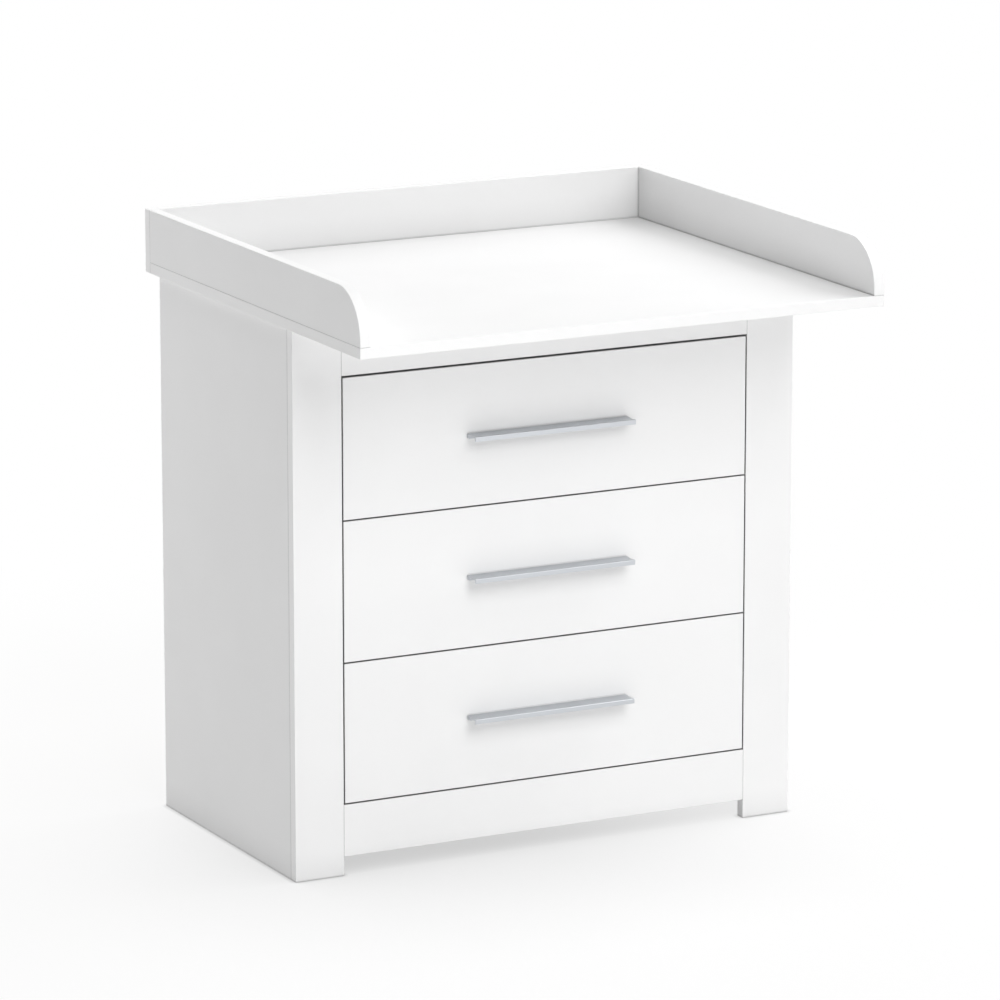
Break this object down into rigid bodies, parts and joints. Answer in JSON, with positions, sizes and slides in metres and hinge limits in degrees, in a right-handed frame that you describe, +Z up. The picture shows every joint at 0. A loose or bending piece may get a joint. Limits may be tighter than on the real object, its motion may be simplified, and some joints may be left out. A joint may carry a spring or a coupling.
{
  "type": "changing dresser",
  "caption": "White board chest of drawers with wide front posts, flat bar handles and a deep railed changing top that overhangs the front.",
  "frame": {"origin": "on the floor, under the centre of the whole dresser's box", "axes": "+Z up, drawers open towards -Y, +X to the right as seen from the front"},
  "size_m": [0.82, 0.712, 0.8915],
  "materials": {
    "white_board": "satin white melamine",
    "drawer_board": "matt white foil",
    "hardboard": "thin fibreboard, white lacquered face",
    "dowel_wood": "raw beech",
    "handle_aluminium": "satin anodised",
    "runner_steel": "white epoxy coating",
    "fitting_steel": "zinc plated",
    "roller_nylon": "moulded nylon"
  },
  "bodies": {
    "carcass": {"apron": "white_board", "back_guard_rail": "white_board", "back_panel": "hardboard", "bottom_panel": "white_board", "cam_bolts": "fitting_steel", "cam_locks": "fitting_steel", "carcass_top_panel": "white_board", "changing_board": "white_board", "guard_rail_screws": "fitting_steel", "left_front_post": "white_board", "left_guard_rail": "white_board", "left_inner_wall": "white_board", "left_lower_cabinet_runner": "runner_steel", "left_middle_cabinet_runner": "runner_steel", "left_side_panel": "white_board", "left_upper_cabinet_runner": "runner_steel", "right_front_post": "white_board", "right_guard_rail": "white_board", "right_inner_wall": "white_board", "right_lower_cabinet_runner": "runner_steel", "right_middle_cabinet_runner": "runner_steel", "right_side_panel": "white_board", "right_upper_cabinet_runner": "runner_steel", "top_rail": "white_board", "wooden_dowels": "dowel_wood"},
    "lower_drawer": {"left_lower_drawer_runner": "runner_steel", "lower_drawer_back": "drawer_board", "lower_drawer_bottom": "hardboard", "lower_drawer_front": "white_board", "lower_drawer_handle": "handle_aluminium", "lower_drawer_handle_screws": "fitting_steel", "lower_drawer_left_side": "drawer_board", "lower_drawer_right_side": "drawer_board", "right_lower_drawer_runner": "runner_steel"},
    "middle_drawer": {"left_middle_drawer_runner": "runner_steel", "middle_drawer_back": "drawer_board", "middle_drawer_bottom": "hardboard", "middle_drawer_front": "white_board", "middle_drawer_handle": "handle_aluminium", "middle_drawer_handle_screws": "fitting_steel", "middle_drawer_left_side": "drawer_board", "middle_drawer_right_side": "drawer_board", "right_middle_drawer_runner": "runner_steel"},
    "upper_drawer": {"left_upper_drawer_runner": "runner_steel", "right_upper_drawer_runner": "runner_steel", "upper_drawer_back": "drawer_board", "upper_drawer_bottom": "hardboard", "upper_drawer_front": "white_board", "upper_drawer_handle": "handle_aluminium", "upper_drawer_handle_screws": "fitting_steel", "upper_drawer_left_side": "drawer_board", "upper_drawer_right_side": "drawer_board"},
    "lower_front_rollers": {"lower_front_rollers": "roller_nylon"},
    "lower_rear_rollers": {"lower_rear_rollers": "roller_nylon"},
    "middle_front_rollers": {"middle_front_rollers": "roller_nylon"},
    "middle_rear_rollers": {"middle_rear_rollers": "roller_nylon"},
    "upper_front_rollers": {"upper_front_rollers": "roller_nylon"},
    "upper_rear_rollers": {"upper_rear_rollers": "roller_nylon"}
  },
  "joints": [
    {"name": "lower_drawer_slide", "type": "slide", "parent": "carcass", "child": "lower_drawer", "axis": [0, -1, 0], "range_m": [0, 0.29]},
    {"name": "lower_front_roller_spin", "type": "hinge", "parent": "carcass", "child": "lower_front_rollers", "pos_m": [0, -0.09, 0.1399], "axis": [1, 0, 0], "range_deg": [-1, 2079]},
    {"name": "lower_rear_roller_spin", "type": "hinge", "parent": "lower_drawer", "child": "lower_rear_rollers", "pos_m": [0, 0.288, 0.1373], "axis": [1, 0, 0], "range_deg": [-1, 2079]},
    {"name": "middle_drawer_slide", "type": "slide", "parent": "carcass", "child": "middle_drawer", "axis": [0, -1, 0], "range_m": [0, 0.29]},
    {"name": "middle_front_roller_spin", "type": "hinge", "parent": "carcass", "child": "middle_front_rollers", "pos_m": [0, -0.09, 0.3454], "axis": [1, 0, 0], "range_deg": [-1, 2079]},
    {"name": "middle_rear_roller_spin", "type": "hinge", "parent": "middle_drawer", "child": "middle_rear_rollers", "pos_m": [0, 0.288, 0.3428], "axis": [1, 0, 0], "range_deg": [-1, 2079]},
    {"name": "upper_drawer_slide", "type": "slide", "parent": "carcass", "child": "upper_drawer", "axis": [0, -1, 0], "range_m": [0, 0.29]},
    {"name": "upper_front_roller_spin", "type": "hinge", "parent": "carcass", "child": "upper_front_rollers", "pos_m": [0, -0.09, 0.5509], "axis": [1, 0, 0], "range_deg": [-1, 2079]},
    {"name": "upper_rear_roller_spin", "type": "hinge", "parent": "upper_drawer", "child": "upper_rear_rollers", "pos_m": [0, 0.288, 0.5483], "axis": [1, 0, 0], "range_deg": [-1, 2079]}
  ],
  "couplings": [
    {"joint": "lower_front_roller_spin", "follows": "lower_drawer_slide", "rad_per_m": 125},
    {"joint": "lower_rear_roller_spin", "follows": "lower_drawer_slide", "rad_per_m": 125},
    {"joint": "middle_front_roller_spin", "follows": "middle_drawer_slide", "rad_per_m": 125},
    {"joint": "middle_rear_roller_spin", "follows": "middle_drawer_slide", "rad_per_m": 125},
    {"joint": "upper_front_roller_spin", "follows": "upper_drawer_slide", "rad_per_m": 125},
    {"joint": "upper_rear_roller_spin", "follows": "upper_drawer_slide", "rad_per_m": 125}
  ]
}
